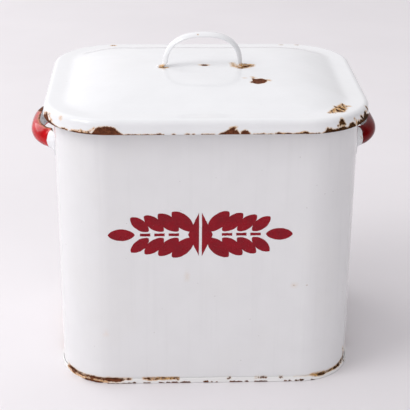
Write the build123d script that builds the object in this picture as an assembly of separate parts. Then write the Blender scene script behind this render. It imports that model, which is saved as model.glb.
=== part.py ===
from build123d import *
import math
import os

# Enamelled pressed-steel bread bin: a rounded rectangular bin on a folded base pan, a domed
# lift-off lid and three fixed strap handles. Millimetres. The front faces -Y, +X is to the right
# seen from the front, +Z is up, and the origin is the middle of the footprint on the table.

# ---------------------------------------------------------------------------------------------
# Driving dimensions
# ---------------------------------------------------------------------------------------------
wall_sheet = 1.0            # bin wall, with its enamel
lid_sheet = 1.0             # lid, with its enamel
pan_sheet = 1.2             # base pan, with its enamel
handle_sheet = 1.3          # strap handles, with their enamel

bin_width = 308.0           # outside of the wall, along X
bin_depth = 256.0           # outside of the wall, along Y
bin_corner = 57.0           # outside radius of the upright corners
mouth_height = 294.7        # top of the curled mouth bead
bead_radius = 4.0           # outside radius of the curled mouth bead
bead_turn = 300.0           # degrees that the curl goes round

pan_rim_height = 6.0        # the pan's outer rim, which the wall stands in
pan_panel_height = 2.8      # underside of the pan's panel above the table
pan_seam_gap = 0.3          # between the wall and the pan's fold, each side
pan_round = 0.9             # rounding of the pan's foot and fold
pan_lip_round = 0.4         # rounding of the top of the pan's rim

lid_seat_gap = 0.3          # under the lid where it rests on the bead
lid_side_gap = 3.0          # between the bead and the lid's skirt
lid_corner_extra = 2.0      # the lid's corners are this much rounder than an even gap
lid_skirt_depth = 14.5      # crest of the band down to the skirt's edge
lid_edge_round = 7.5        # outside rounding between the band and the skirt
lid_hem_radius = 1.1        # rolled hem inside the skirt's lower edge
lid_band = 24.0             # flat band round the dome, from the skirt's outside
dome_rise = 13.0            # crest of the band up to the flat cap
dome_run = 86.0             # band's inner line in to the flat cap
dome_fullness = 2.6         # 1 is a straight slope, more is rounder
cap_corner = 14.0           # corner radius of the flat cap
dome_stations = 6           # rounded rectangles that the dome passes through
dome_crowding = 1.5         # 1 spaces them evenly, more crowds them toward the band
dome_thinning = 0.25        # how far the inside is drawn in where the dome leaves the band

arch_half_span = 42.2       # lid handle, middle to the outside of a foot
arch_rise = 36.9            # lid handle, cap to the outside of the crown
arch_squareness = 2.45      # 2 is an ellipse, more is squarer
arch_foot_width = 10.0
arch_crown_width = 14.0
arch_foot_hollow = 4.2      # depth of the strap's hollow side at a foot
arch_crown_hollow = 3.6     # the same at the crown
arch_tab = 6.2              # weld tab, outward from a foot
arch_stations = 15

side_half_span = 62.0       # side handle, middle to where it leaves the wall
side_reach = 28.4           # outward from the wall
side_fullness = 2.9         # 2 is a parabola, more is squarer
side_height = 21.0          # width of the strap, upright
side_drop = 48.8            # mouth of the bin down to the middle of the strap
side_hollow = 9.6           # depth of the strap's hollow side at its middle
side_hollow_fullness = 4.5  # more keeps the hollow deep nearer to the ends
side_tab = 13.0             # weld tab, onward from where the loop leaves the wall
side_bend = 2.0             # softness of the bend into the weld tab
side_stations = 25
weld_gap = 0.15             # between a side handle's weld tab and the wall
flat_hollow = 0.04          # the hollow that is left where a strap is flat

# ---------------------------------------------------------------------------------------------
# Sizes that follow
# ---------------------------------------------------------------------------------------------
bin_half_width = bin_width / 2
bin_half_depth = bin_depth / 2
wall_foot = pan_sheet                                   # the wall stands on the pan's fold

lid_outset = 2 * bead_radius - wall_sheet + lid_side_gap + lid_sheet
lid_half_width = bin_half_width + lid_outset
lid_half_depth = bin_half_depth + lid_outset
lid_corner = bin_corner + lid_outset + lid_corner_extra
lid_crest = mouth_height + lid_seat_gap + lid_sheet
lid_skirt_edge = lid_crest - lid_skirt_depth
cap_height = lid_crest + dome_rise

side_middle_height = mouth_height - side_drop

os.makedirs("parts", exist_ok=True)


# ---------------------------------------------------------------------------------------------
# Shared shapes
# ---------------------------------------------------------------------------------------------
def carried_round(profile, half_width, half_depth, corner):
    """Carry a profile, drawn as (outset, height) in XZ, round a rounded rectangle."""
    turned = revolve(Pos(corner, 0, 0) * profile, axis=Axis.Z, revolution_arc=90)
    along_side = extrude(profile, amount=half_depth - corner, both=True)
    along_front = Rot(0, 0, -90) * extrude(profile, amount=half_width - corner, both=True)
    pieces = []
    for quarter in range(4):
        across = half_width - corner
        deep = half_depth - corner
        place = [(across, deep), (-across, deep), (-across, -deep), (across, -deep)][quarter]
        pieces.append(Pos(*place, 0) * Rot(0, 0, 90 * quarter) * turned)
    for side in (0, 180):
        pieces.append(Rot(0, 0, side) * Pos(half_width, 0, 0) * along_side)
        pieces.append(Rot(0, 0, side) * Pos(0, -half_depth, 0) * along_front)
    return Part() + pieces


def rounded_plate(half_width, half_depth, corner, bottom, top):
    """A flat plate with rounded corners between two heights."""
    outline = RectangleRounded(2 * half_width, 2 * half_depth, corner)
    return extrude(Pos(0, 0, bottom) * outline, amount=top - bottom)


def strap_section(origin, across, inward, width, hollow, sheet):
    """One section of a strap: a shallow arch of sheet whose crest is at the origin."""
    radius = (width * width / 4 + hollow * hollow) / (2 * hollow)
    half_angle = math.asin(width / 2 / radius)
    inner = radius - sheet
    outer_end = (radius * math.sin(half_angle), radius - radius * math.cos(half_angle))
    inner_end = (inner * math.sin(half_angle), radius - inner * math.cos(half_angle))
    outline = [
        ThreePointArc((-outer_end[0], outer_end[1]), (0, 0), outer_end),
        Line(outer_end, inner_end),
        ThreePointArc(inner_end, (0, sheet), (-inner_end[0], inner_end[1])),
        Line((-inner_end[0], inner_end[1]), (-outer_end[0], outer_end[1])),
    ]
    plane = Plane(origin=origin, x_dir=across, z_dir=across.cross(inward))
    return plane * make_face(outline)


def inward_normal(point_at, parameter, across, middle):
    """Normal of a path in its own plane, turned to the side where the middle lies."""
    step = 1e-4
    along = point_at(parameter + step) - point_at(parameter - step)
    normal = along.cross(across).normalized()
    if normal.dot(middle - point_at(parameter)) < 0:
        normal = normal * -1
    return normal


# ---------------------------------------------------------------------------------------------
# Bin
# ---------------------------------------------------------------------------------------------
def body_shell():
    """The wall, with its upper edge curled outward into a bead."""
    bead_x = bead_radius - wall_sheet
    bead_z = mouth_height - bead_radius
    inside_radius = bead_radius - wall_sheet
    outer_curl = CenterArc((bead_x, bead_z), bead_radius, 180, -bead_turn)
    inner_curl = CenterArc((bead_x, bead_z), inside_radius, 180, -bead_turn)
    outline = [
        Line((-wall_sheet, wall_foot), (-wall_sheet, bead_z)),
        outer_curl,
        Line(outer_curl @ 1, inner_curl @ 1),
        inner_curl,
        Line((0, bead_z), (0, wall_foot)),
        Line((0, wall_foot), (-wall_sheet, wall_foot)),
    ]
    profile = Plane.XZ * make_face(outline)
    return carried_round(profile, bin_half_width, bin_half_depth, bin_corner)


def base_pan():
    """The pan: a rim outside the wall, a fold under it, and a panel raised off the table."""
    rim_in = pan_seam_gap
    rim_out = rim_in + pan_sheet
    riser_out = -wall_sheet - pan_seam_gap
    riser_in = riser_out - pan_sheet
    panel_top = pan_panel_height + pan_sheet
    corners = [
        (rim_out, 0),
        (rim_out, pan_rim_height),
        (rim_in, pan_rim_height),
        (rim_in, pan_sheet),
        (riser_out, pan_sheet),
        (riser_out, panel_top),
        (riser_in, panel_top),
        (riser_in, 0),
    ]
    fold = make_face(Polyline(*corners, close=True))
    foot = [v for v in fold.vertices() if v.Y < pan_sheet / 2]
    fold = fillet(foot, pan_round)
    lip = [v for v in fold.vertices() if v.Y > pan_rim_height - pan_lip_round / 2]
    fold = fillet(lip, pan_lip_round)
    rim = carried_round(Plane.XZ * fold, bin_half_width, bin_half_depth, bin_corner)
    edge = (riser_out + riser_in) / 2
    panel = rounded_plate(
        bin_half_width + edge, bin_half_depth + edge, bin_corner + edge,
        pan_panel_height, panel_top,
    )
    return rim + panel


def side_crest(y):
    """Crest of a side handle's strap, as a point at the middle of its height."""
    flat = bin_half_depth - bin_corner
    past = max(0.0, abs(y) - flat)
    wall = bin_half_width - bin_corner + math.sqrt(bin_corner ** 2 - past ** 2)
    loop = side_reach * (1 - (abs(y) / side_half_span) ** side_fullness)
    lift = (loop + math.hypot(loop, side_bend)) / 2
    return Vector(wall + weld_gap + handle_sheet + lift, y, side_middle_height)


def side_handle():
    """The right-hand side handle: a hollow strap bent into a loop, flat at its welded ends."""
    up = Vector(0, 0, 1)
    inside = Vector(0, 0, side_middle_height)
    reach_y = side_half_span + side_tab
    sections = []
    for station in range(side_stations):
        y = reach_y * math.cos(math.pi * station / (side_stations - 1))
        deep = max(0.0, 1 - (abs(y) / side_half_span) ** side_hollow_fullness)
        hollow = side_hollow * deep + flat_hollow
        inward = inward_normal(side_crest, y, up, inside)
        sections.append(strap_section(side_crest(y), up, inward, side_height, hollow, handle_sheet))
    return loft(sections)


# ---------------------------------------------------------------------------------------------
# Lid
# ---------------------------------------------------------------------------------------------
def dome_section(step, drop, ease):
    """One rounded rectangle of the dome, lowered by drop and drawn in by ease."""
    way_in = (step / (dome_stations - 1)) ** dome_crowding
    inset = lid_band + dome_run * way_in + ease
    corner = lid_corner - lid_band
    corner = corner + (cap_corner - corner) * way_in
    height = lid_crest + dome_rise * (1 - (1 - way_in) ** dome_fullness) - drop
    outline = RectangleRounded(
        2 * (lid_half_width - inset), 2 * (lid_half_depth - inset), corner
    )
    return Pos(0, 0, height) * outline


def lid_shell():
    """The lid: a skirt with a rolled hem, a flat band and a dome with a flat cap."""
    under_band = lid_crest - lid_sheet
    outer = FilletPolyline(
        (-lid_band, lid_crest), (0, lid_crest), (0, lid_skirt_edge), radius=lid_edge_round
    )
    inner = FilletPolyline(
        (-lid_sheet, lid_skirt_edge), (-lid_sheet, under_band), (-lid_band, under_band),
        radius=lid_edge_round - lid_sheet,
    )
    outline = [
        outer,
        Line(outer @ 1, inner @ 0),
        inner,
        Line(inner @ 1, outer @ 0),
    ]
    strip = make_face(outline)
    hem = Pos(-lid_hem_radius, lid_skirt_edge + lid_hem_radius) * Circle(lid_hem_radius)
    below_hem = Pos(-lid_hem_radius, lid_skirt_edge + lid_hem_radius / 2) * Rectangle(
        2 * lid_hem_radius, lid_hem_radius
    )
    profile = Plane.XZ * (strip - below_hem + hem)
    rim = carried_round(profile, lid_half_width, lid_half_depth, lid_corner)
    outside = loft([dome_section(step, 0, 0) for step in range(dome_stations)])
    inside = loft([dome_section(step, lid_sheet, dome_thinning) for step in range(dome_stations)])
    foot = rounded_plate(
        lid_half_width - lid_band, lid_half_depth - lid_band, lid_corner - lid_band,
        under_band, lid_crest,
    )
    return rim + (outside + foot - inside)


def arch_crest(angle):
    """Crest of the lid handle's strap; the angle goes from the right foot to the left one."""
    power = 2 / arch_squareness
    across = math.copysign(abs(math.cos(angle)) ** power, math.cos(angle))
    upward = math.copysign(abs(math.sin(angle)) ** power, math.sin(angle))
    return Vector(arch_half_span * across, 0, cap_height + arch_rise * upward)


def arch_inward(angle):
    """Inward normal of the arch, from the slope of its squared-off ellipse."""
    crest = arch_crest(angle)
    x = crest.X / arch_half_span
    z = (crest.Z - cap_height) / arch_rise
    slope_x = math.copysign(abs(x) ** (arch_squareness - 1), x) / arch_half_span
    slope_z = abs(z) ** (arch_squareness - 1) / arch_rise
    return Vector(-slope_x, 0, -slope_z).normalized()


def lid_handle():
    """The lid handle: a hollow strap bent into an arch, with a flat weld tab at each foot."""
    across = Vector(0, 1, 0)
    sections = []
    for station in range(arch_stations):
        angle = math.pi * station / (arch_stations - 1)
        crown = math.sin(angle)
        width = arch_foot_width + (arch_crown_width - arch_foot_width) * crown
        hollow = arch_foot_hollow + (arch_crown_hollow - arch_foot_hollow) * crown
        inward = arch_inward(angle)
        sections.append(strap_section(arch_crest(angle), across, inward, width, hollow, handle_sheet))
    strap = loft(sections)
    tab_start = arch_half_span - arch_foot_hollow - handle_sheet
    tab_end = arch_half_span + arch_tab
    outline = SlotOverall(2 * tab_end, arch_foot_width)
    keep = Pos((tab_start + tab_end) / 2, 0) * Rectangle(tab_end - tab_start, arch_foot_width)
    tab = extrude(Pos(0, 0, cap_height) * (outline & keep), amount=handle_sheet)
    return strap + tab + Rot(0, 0, 180) * tab


# ---------------------------------------------------------------------------------------------
# Written parts
# ---------------------------------------------------------------------------------------------
right = side_handle()
parts = {
    "body_shell": body_shell(),
    "base_pan": base_pan(),
    "lid_shell": lid_shell(),
    "lid_handle": lid_handle(),
    "side_handle_right": right,
    "side_handle_left": mirror(right, about=Plane.YZ),
}
for name, shape in parts.items():
    export_step(shape, f"parts/{name}.step")
    box = shape.bounding_box()
    low = tuple(round(v, 2) for v in box.min)
    high = tuple(round(v, 2) for v in box.max)
    print(name, "from", low, "to", high, "volume", round(shape.volume))
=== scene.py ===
import math
from functools import cached_property

import bpy
import numpy as np
from mathutils import Matrix, Vector


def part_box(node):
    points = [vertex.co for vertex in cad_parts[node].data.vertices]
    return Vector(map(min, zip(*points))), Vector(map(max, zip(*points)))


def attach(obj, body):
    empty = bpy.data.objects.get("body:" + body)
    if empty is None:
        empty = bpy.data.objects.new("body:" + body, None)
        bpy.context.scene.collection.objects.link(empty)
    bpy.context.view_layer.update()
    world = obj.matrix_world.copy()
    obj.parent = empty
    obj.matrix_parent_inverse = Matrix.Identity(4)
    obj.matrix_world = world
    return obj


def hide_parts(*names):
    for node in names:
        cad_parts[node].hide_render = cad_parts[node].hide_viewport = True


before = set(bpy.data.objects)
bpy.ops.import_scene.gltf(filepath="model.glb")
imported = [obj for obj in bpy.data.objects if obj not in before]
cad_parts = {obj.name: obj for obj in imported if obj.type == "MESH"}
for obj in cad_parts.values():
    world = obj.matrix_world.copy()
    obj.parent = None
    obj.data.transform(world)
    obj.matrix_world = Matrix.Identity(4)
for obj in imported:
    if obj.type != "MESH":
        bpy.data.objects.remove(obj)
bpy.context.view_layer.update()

# Enamelled bread bin. Shapes are worked out in millimetres in the CAD model's frame and written
# to the meshes in metres. The front faces -Y.
scene = bpy.context.scene
MM = 0.001


def high_corner(node):
    return np.array(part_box(node)[1]) / MM


# ------ Sizes
SHEET = 1.0                     # wall and lid
BEAD = 4.0                      # outside radius of the curled mouth
WALL_X, WALL_Y, MOUTH = high_corner("body_shell") - np.array([2 * BEAD - SHEET] * 2 + [0])
WALL_CORNER = 57.0
WALL_FOOT = 1.2
CORNER_X, CORNER_Y = WALL_X - WALL_CORNER, WALL_Y - WALL_CORNER  # middle of the rounded corners

LID_X, LID_Y, CAP = high_corner("lid_shell")
LID_CORNER = 70.0
LID_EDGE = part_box("lid_shell")[0].z / MM
DOME_RISE = 13.0
CREST = CAP - DOME_RISE
LID_ROUND = 7.5
LID_BAND = 24.0
DOME_RUN = 86.0
DOME_FULLNESS = 3.0
CAP_CORNER = 14.0
HEM = 1.1
ROUND_ROWS, SKIRT_ROWS, HEM_ROWS = 12, 12, 15
FLARE = 0.9                     # how far the skirt leans in above its hem

PAN_RIM = 6.0
PAN_PANEL = 4.0                 # top of the pan's panel
PAN_SHEET = 1.2
PAN_GAP = 0.3
PAN_FOOT, PAN_LIP = 0.9, 0.4    # radii of its lower edge and of its rim
PAN_CORNER = WALL_CORNER + PAN_GAP + PAN_SHEET

STRAP = 1.3                     # sheet of the handles
ARCH_SPAN, ARCH_RISE, ARCH_POWER = 42.2, 36.9, 2.45
ARCH_TAB = 6.2
ARCH_BEND = 2.2
ARCH_FOOT_WIDTH, ARCH_CROWN_WIDTH = 10.0, 14.0
ARCH_SHIFT, ARCH_LEAN = -2.2, 1.6   # welded a little left of the middle, leaning to the right
ARCH_HOLLOW_FOOT, ARCH_HOLLOW_CROWN = 5.4, 3.6
SIDE_SPAN, SIDE_REACH, SIDE_POWER = 62.0, 28.4, 2.9
SIDE_TAB = 13.0
SIDE_HEIGHT = 21.0
SIDE_MIDDLE = (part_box("side_handle_right")[0].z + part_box("side_handle_right")[1].z) / 2 / MM
SIDE_HOLLOW = 9.6
WELD_SINK = 0.45                # how far the welds drew the tabs into the wall

ORNAMENT_X, ORNAMENT_Z = -7.5, 171.5
TIP_LENGTH, TIP_WIDTH = 27, 13
GRAIN_LENGTH, GRAIN_WIDTH, GRAIN_PITCH = 23.5, 11.6, 14.4
TIP_AT, GRAIN_AT, BAR_AT = 79.5, 61.0, 55.5     # out from the ornament's middle
ORNAMENT_PROUD, ORNAMENT_EDGE, ORNAMENT_ROOT = 0.14, 0.1, -0.3   # out from the wall


# ------ Mesh helpers
def make_object(name, points, faces, smooth=True, layers=None):
    """A mesh object from points in millimetres, with one float value per point for each layer."""
    mesh = bpy.data.meshes.new(name)
    mesh.from_pydata((np.asarray(points) * MM).tolist(), [], faces)
    mesh.polygons.foreach_set("use_smooth", [smooth] * len(mesh.polygons))
    for layer, values in (layers or {}).items():
        held = mesh.attributes.new(layer, "FLOAT", "POINT")
        held.data.foreach_set("value", np.asarray(values, np.float32))
    mesh.validate()
    made = bpy.data.objects.new(name, mesh)
    scene.collection.objects.link(made)
    return made


def band_faces(rows, across, closed_rows=False):
    """Quads between rings of points, the rings one after another."""
    index = np.arange(rows * across).reshape(rows, across)
    if closed_rows:
        index = np.vstack([index, index[:1]])
    ahead = np.roll(index, -1, axis=1)
    quads = np.stack([index[:-1], ahead[:-1], ahead[1:], index[1:]], axis=-1)
    return quads.reshape(-1, 4).tolist()


ARC_STEPS, FRONT_STEPS, SIDE_STEPS = 84, 160, 104


def perimeter():
    """Places round a rounded rectangle: which corner centre, and which way the surface faces."""
    centres = ((1, 1), (-1, 1), (-1, -1), (1, -1))
    table = []
    for quarter in range(4):
        here = centres[quarter]
        ahead = centres[(quarter + 1) % 4]
        for i in range(ARC_STEPS):
            turn = (quarter + i / ARC_STEPS) * math.pi / 2
            table.append((*here, math.cos(turn), math.sin(turn)))
        turn = (quarter + 1) * math.pi / 2
        steps = FRONT_STEPS if quarter % 2 == 0 else SIDE_STEPS
        for i in range(steps):
            t = i / steps
            x = here[0] + (ahead[0] - here[0]) * t
            y = here[1] + (ahead[1] - here[1]) * t
            table.append((x, y, math.cos(turn), math.sin(turn)))
    return np.array(table)


ROUND = perimeter()
AROUND = len(ROUND)


def ring(half_x, half_y, corner, z):
    """One rounded rectangle, with the same number of points whatever its size."""
    x = ROUND[:, 0] * (half_x - corner) + ROUND[:, 2] * corner
    y = ROUND[:, 1] * (half_y - corner) + ROUND[:, 3] * corner
    return np.stack([x, y, np.full(AROUND, float(z))], axis=1)


def carried(profile, half_x, half_y, corner):
    """Rings for a profile of (outset, height) carried round a rounded rectangle."""
    return [ring(half_x + out, half_y + out, corner + out, z) for out, z in profile]


def shrunk(outline, sizes):
    """Smaller copies of a ring about the middle, at its own height."""
    return [outline * np.array([s, s, 1]) for s in sizes]


def capped(rings, first_middle, last_middle):
    """Points and faces of rings whose first and last are closed by fans to a middle point."""
    faces = band_faces(len(rings), AROUND)
    count = len(rings) * AROUND
    last = count - AROUND
    faces += [((i + 1) % AROUND, i, count) for i in range(AROUND)]
    faces += [(last + i, last + (i + 1) % AROUND, count + 1) for i in range(AROUND)]
    return np.vstack([*rings, [first_middle, last_middle]]), faces


def arc(centre, radius, start, end, steps):
    """Points (outset, height) of an arc, with angles in degrees."""
    turns = np.radians(np.linspace(start, end, steps + 1))
    return [(centre[0] + radius * math.cos(t), centre[1] + radius * math.sin(t)) for t in turns]


def line(start, end, steps):
    """Points between two places, without the first one."""
    return [tuple(np.array(start) + (np.array(end) - np.array(start)) * i / steps)
            for i in range(1, steps + 1)]


def swell(points, length, seed):
    """Smooth irregular values between 0 and 1 that change over about that length."""
    rng = np.random.default_rng(seed)
    total = np.zeros(len(points))
    for _ in range(9):
        way = rng.normal(size=3)
        way *= 2 * math.pi / length * rng.uniform(0.6, 1.5) / np.linalg.norm(way)
        total += np.sin(points @ way + rng.uniform(0, 2 * math.pi))
    return 0.5 + 0.5 * np.tanh(total / 3)


def smooth_step(low, high, value):
    t = np.clip((value - low) / (high - low), 0, 1)
    return t * t * (3 - 2 * t)


# ------ Wear: distances in millimetres to listed chips, negative inside them
FAR = 60.0


def blobs(points, chips):
    """Distance to the nearest of some ellipsoids (centre x, y, z, radii x, y, z)."""
    best = np.full(len(points), FAR)
    for x, y, z, rx, ry, rz in chips:
        radii = np.array([rx, ry, rz])
        q = (points - np.array([x, y, z])) / radii
        k = np.linalg.norm(q, axis=1)
        slope = np.maximum(np.linalg.norm(q / radii, axis=1), 1e-6)
        best = np.minimum(best, np.where(k > 1e-3, k * (k - 1) / slope, -min(rx, ry, rz)))
    return best


def way_round(points, radius):
    """Distance round the object from the middle of the front, positive toward +X."""
    out = np.abs(points[:, 0]) - CORNER_X
    near = -points[:, 1] - CORNER_Y
    turn = np.arctan2(np.maximum(out, 0), np.maximum(near, 1e-6))
    way = CORNER_X + np.minimum(out, 0) + radius * turn + np.maximum(-near, 0)
    return way * np.sign(points[:, 0])


def nearest(u, v, a, b):
    """How far along the segment from a to b its nearest place lies, 0 to 1, and the gap to it."""
    du, dv = b[0] - a[0], b[1] - a[1]
    t = np.clip(((u - a[0]) * du + (v - a[1]) * dv) / max(du ** 2 + dv ** 2, 1e-6), 0, 1)
    return t, np.hypot(u - a[0] - t * du, v - a[1] - t * dv)


def strokes(u, v, paths):
    """Distance to the nearest of some tapered strokes, each a list of (u, v, radius)."""
    best = np.full(len(u), FAR)
    for path in paths:
        for a, b in zip(path, path[1:]):
            t, gap = nearest(u, v, a, b)
            best = np.minimum(best, gap - a[2] - (b[2] - a[2]) * t)
    return best


def patches(u, v, outlines):
    """Distance to the nearest of some outlines, each a list of (u, v), negative inside."""
    best = np.full(len(u), FAR)
    for outline in outlines:
        inside = np.zeros(len(u), bool)
        gap = np.full(len(u), FAR)
        for a, b in zip(outline, outline[1:] + outline[:1]):
            gap = np.minimum(gap, nearest(u, v, a, b)[1])
            if a[1] != b[1]:
                crossing = a[0] + (v - a[1]) / (b[1] - a[1]) * (b[0] - a[0])
                inside ^= ((a[1] > v) != (b[1] > v)) & (u < crossing)
        best = np.minimum(best, np.where(inside, -gap, gap))
    return best


def far_side(points):
    """0 along the front, whose chips are listed one by one, and 1 behind it."""
    return smooth_step(-64, -50, points[:, 1])


def fringe(points, height, level, length, seed, width):
    """Distance to an irregular fringe of chips that climbs from an edge behind the front."""
    flat = points * np.array([1, 1, 0])
    climb = (swell(flat, length, seed) - level) * width
    climb += (swell(flat, length / 3.5, seed + 1) - 0.5) * width * 0.4
    return np.maximum(np.abs(points[:, 2] - height) - climb, -2.0) + 8 * (1 - far_side(points))


def faded(distance, full, reach):
    """Strength of a stain: full at no distance, less by 1 for each reach away from it."""
    return np.clip(full - distance / reach, 0, 1)


# ------ Wall
def wall_hollow(points):
    """How far the wall lies inward of its true place: shallow dents in the sheet."""
    deep = 0.32 * swell(points, 95, 11) + 0.14 * swell(points, 38, 12)
    ends = smooth_step(8, 30, points[:, 2]) * (1 - smooth_step(262, 285, points[:, 2]))
    beside = np.abs(points[:, 2] - SIDE_MIDDLE) - SIDE_HEIGHT / 2
    on_side = smooth_step(WALL_X - 30, WALL_X - 10, np.abs(points[:, 0]))
    return deep * ends * (1 - (1 - smooth_step(2, 16, beside)) * on_side)


def build_wall():
    bead_x = BEAD - SHEET
    bead_z = MOUTH - BEAD
    profile = [(0, WALL_FOOT)]
    # rows lie closer together below 12 mm, where the chips are
    profile += line(profile[-1], (0, 12), 8)
    profile += line(profile[-1], (0, bead_z), 66)
    outer = len(profile)
    # the curl: up and over from the inside face, round to its free edge, and back to the wall
    curl_out = arc((bead_x, bead_z), BEAD, 180, -120, 34)
    curl_in = arc((bead_x, bead_z), BEAD - SHEET, -120, 180, 30)
    inside = [(-SHEET, bead_z)]
    inside += line(inside[-1], (-SHEET, WALL_FOOT), 36)
    # closed profile: outer face upward, inner side of the curl, free edge, curl, inner face down
    whole = profile + curl_in[::-1][1:] + curl_out[::-1] + inside[1:]
    rings = carried(whole, WALL_X, WALL_Y, WALL_CORNER)
    points = np.vstack(rings)
    facing = np.tile(ROUND[:, 2:4], (len(rings), 1))
    points[:, :2] -= facing * wall_hollow(points)[:, None]
    chip, stain = wall_wear(points)
    inner_rows = np.repeat(np.arange(len(rings)) >= outer, AROUND)
    chip = np.where(inner_rows, np.maximum(chip, inner_chips(points)), chip)
    return make_object("Bin_Wall", points, band_faces(len(rings), AROUND, True),
                       layers={"chip": chip, "stain": stain})


# Wear along the seam between the wall and the base, as (way round, height, radius)
SEAM = [
    [(-160, 8, 0.4), (-157.4, 6.4, 0.8), (-148, 6.1, 1), (-141.5, 5.5, 0.7), (-135.4, 5, 0.9),
     (-130, 5.2, 0.6), (-124.8, 5.7, 0.8), (-121, 5.5, 1), (-116.5, 5.5, 0.7), (-112, 5.2, 1),
     (-107.8, 5.2, 0.9), (-104.2, 5.2, 1.9), (-100, 4.6, 1.8), (-95.8, 4.4, 2.1), (-91.6, 4.4, 1.7),
     (-88.4, 5, 1), (-86.6, 5.3, 0.3)], [(-84.8, 5.5, 0.2), (-82.4, 5.5, 0.55), (-80, 5.4, 0.3)],
    [(-66.4, 5.9, 0.1), (-62, 5.9, 0.35), (-60.5, 5.2, 0.8), (-59.4, 5.6, 0.2)], [(-57.6, 5.5, 0.35),
     (-56.2, 5.4, 0.4)], [(-54.6, 5.2, 0.4), (-52, 5.3, 0.4)], [(-50.4, 5.7, 0.3), (-49.6, 5.8, 0.3)],
    [(-47.8, 5.9, 0.2), (-43.1, 5.9, 0.2)], [(-39, 5.7, 0.3), (-38.2, 5.6, 0.3)], [(-35.6, 5.7, 0.3),
     (-32, 5.5, 0.35), (-30.2, 4.3, 0.4)], [(22.4, 4.9, 0.7), (23, 4.6, 0.6)], [(24.4, 5.6, 0.6),
     (24.9, 5.5, 0.5)], [(51.4, 5, 0.5), (52, 5.1, 0.5)], [(54.2, 5.2, 0.45), (54.7, 5.2, 0.45)],
    [(56.6, 5.2, 0.5), (57.2, 5.3, 0.5)], [(59, 5.4, 0.6), (63, 5.4, 0.5)], [(77.6, 5.4, 0.5),
     (79.8, 5.3, 0.5)], [(118.6, 5.6, 0.6), (120.6, 5, 1.2), (124, 4.9, 1.2), (128.4, 5.4, 0.6)],
    [(128.4, 5.4, 0.1), (135.8, 5.8, 0.35), (139, 5.7, 0.1)], [(141.6, 5.6, 0.6), (144.6, 5.6, 0.8)],
    [(146.6, 5.7, 0.3), (149, 6, 0.9)], [(150, 6, 1.4), (152.6, 7.4, 1)], [(156, 7.6, 1.5),
     (158.6, 8.4, 1.1)], [(162.4, 8.8, 1.7), (164.4, 9.8, 1.4)], [(165.6, 11.6, 1.3)] * 2,
    [(165.6, 14.4, 1.6)] * 2, [(163.6, 17.6, 0.8), (162.6, 20.4, 0.5)],
]
# The base's lower edge, and chips on the rim above it
UNDERSIDE = [
    [(-132, 1.2, 0.4), (-127, 1.5, 0.9), (-121.8, 2.2, 1.1), (-118.6, 1.3, 0.9), (-114, 1.4, 0.9),
     (-109.7, 1.2, 0.5)], [(-122.4, 5, 0.9), (-121.8, 3, 1.2)], [(-149.7, 4.6, 1.1), (-146.2, 3.7, 1.2)],
    [(-104, 0.4, 0.3), (-92, 0.3, 0.4), (-80, 0.5, 0.35)], [(-78, 0.8, 0.6), (-75.4, 0.9, 0.6)],
    [(-66, 0.5, 0.5), (-60, 0.5, 0.5)], [(-49.6, 0.9, 0.6), (-45.6, 0.9, 0.5)], [(-42, 0.8, 0.5),
     (-39.4, 0.8, 0.5)], [(-36, 0.8, 0.6), (-31, 0.9, 0.6)], [(-27.6, 0.7, 0.6), (-22.6, 1.1, 0.8),
     (-20, 0.8, 0.5)], [(-18, 0.8, 0.4)] * 2, [(-1.9, 1.3, 1.1), (0.9, 1.3, 1.1)], [(5, 0.7, 0.4),
     (6, 0.7, 0.4)], [(10, 0.7, 0.4), (11, 0.7, 0.4)], [(24.6, 0.9, 0.5), (29, 0.9, 0.6)], [(31, 0.8, 0.5),
     (37, 0.8, 0.5)], [(40.4, 1.1, 0.7), (42.8, 1, 0.7)], [(51, 0.7, 0.35), (64, 0.7, 0.35)],
    [(83, 0.9, 0.5), (85, 0.9, 0.5)], [(88, 1.3, 0.7), (89, 1.3, 0.7)], [(94.6, 1.3, 0.55),
     (97, 1.4, 0.55)], [(99.4, 1.9, 0.9), (101.6, 1.9, 0.9)], [(112, 0.6, 0.5), (115.4, 0.5, 0.4)],
    [(162.8, 4.4, 0.9), (164, 4.6, 0.8)], [(169, 4.6, 0.7), (169.8, 5, 0.6)],
]
# Rust that has soaked the glaze beside them
SOAKED = [
    [(-158, 5.4, 1.6), (-148, 4.2, 2.2), (-138, 3.6, 1.7), (-127, 3.4, 2), (-112, 3.3, 1.9),
     (-104, 3, 1.2)], [(-67, 5.6, 0.5), (-50, 5.5, 0.9), (-30, 5.4, 0.6)], [(-62, 4.6, 0.7),
     (-54, 4.6, 0.6)], [(111.6, 6.4, 0.9), (117, 5.9, 1.5), (127, 5.6, 1.2)], [(92, 5.8, -0.9),
     (110, 5.9, -0.7)], [(134, 5.8, 0.5), (150, 6, 0.6)],
]


def clean_front(way):
    """How much rust has soaked in: little of it along the middle of the front."""
    return 1 - 0.75 * smooth_step(-26, -22, way) * (1 - smooth_step(84, 108, way))


def wall_wear(points):
    way, z = way_round(points, PAN_CORNER), points[:, 2]
    specks = [(-20.5, -128, 133, 0.3, 2, 0.6), (89, -128, 113, 0.7, 2, 0.25), (102, -127.5, 113, 0.5, 2, 0.3)]
    smudges = [(-105, -126, 59.5, 1.6, 3, 1.2), (-21, -128, 125, 1, 3, 2.6), (89, -128, 113, 2, 3, 1)]
    climbing = [[(163.6, 6, 1), (163.6, 21.9, 0.4)], [(171, 12, 0.8), (171.5, 20, 0.3)]]
    seam = strokes(way, z, SEAM)
    low = fringe(points, WALL_FOOT + 4.6, 0.62, 46, 21, 7)
    stain = np.maximum.reduce([faded(blobs(points, smudges), 1, 3) * 0.16,
                               faded(strokes(way, z, climbing), 1, 2.5) * 0.35,
                               faded(seam, 0.6, 3) * clean_front(way),
                               faded(strokes(way, z, SOAKED), 0.8, 2.2),
                               faded(low, 1, 5) * 0.8])
    return np.minimum.reduce([blobs(points, specks), seam, low + 1.6]), stain


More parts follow.
